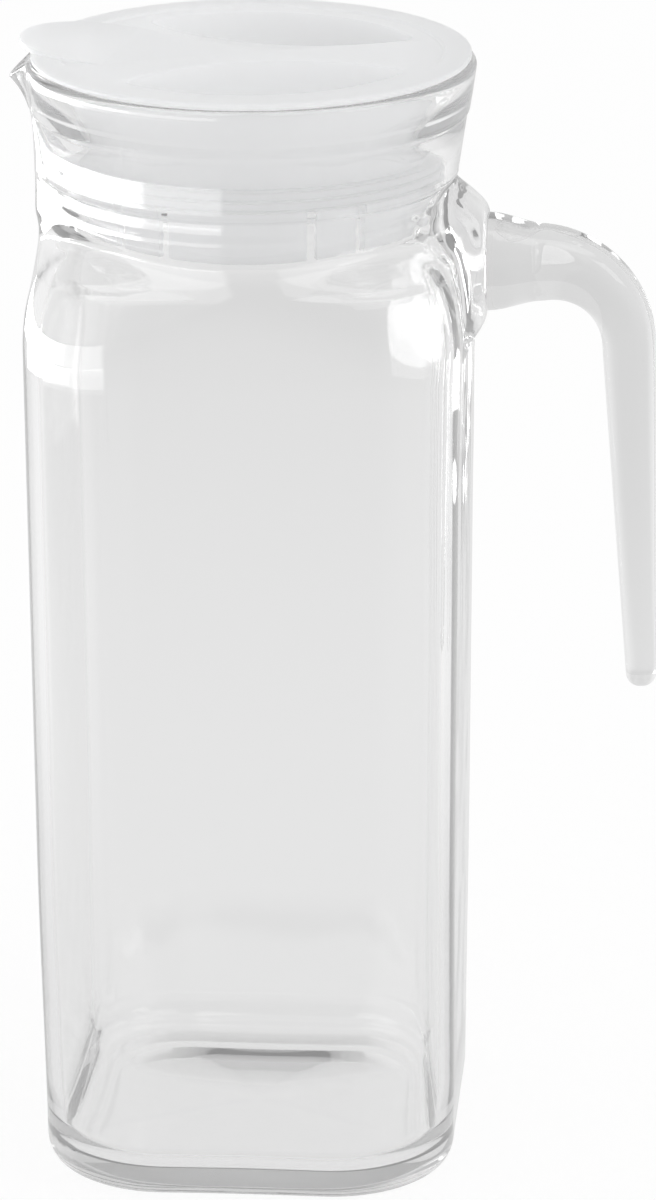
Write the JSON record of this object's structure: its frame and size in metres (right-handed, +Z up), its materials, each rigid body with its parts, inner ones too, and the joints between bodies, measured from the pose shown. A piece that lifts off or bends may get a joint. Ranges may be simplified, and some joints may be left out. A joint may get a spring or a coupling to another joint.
{
  "type": "glass pitcher with lid",
  "caption": "Squared clear-glass fridge pitcher with a round spouted neck, a fused glass handle and a frosted lift-off lid that turns.",
  "frame": {"origin": "centre of the flat underside of the base, on the axis of the neck", "axes": "+Z up, +X towards the handle, the spout at -X"},
  "size_m": [0.142, 0.1002, 0.2501],
  "materials": {
    "jug_glass": "clear polished",
    "fused_glass": "clear, rippled where the glass flowed",
    "handle_glass": "clear polished",
    "lid_plastic": "translucent, faintly frosted",
    "seal_rubber": "translucent satin"
  },
  "bodies": {
    "jug": {"jug_body": "jug_glass", "handle_weld": "fused_glass", "handle": "handle_glass"},
    "seal": {"lid_seal": "seal_rubber"},
    "lid": {"lid": "lid_plastic"}
  },
  "joints": [
    {"name": "lid_lift", "type": "slide", "parent": "jug", "child": "seal", "axis": [0, 0, 1], "range_m": [0, 0.05]},
    {"name": "lid_turn", "type": "hinge", "parent": "seal", "child": "lid", "pos_m": [0, 0, 0.2477], "axis": [0, 0, 1], "continuous": true}
  ]
}
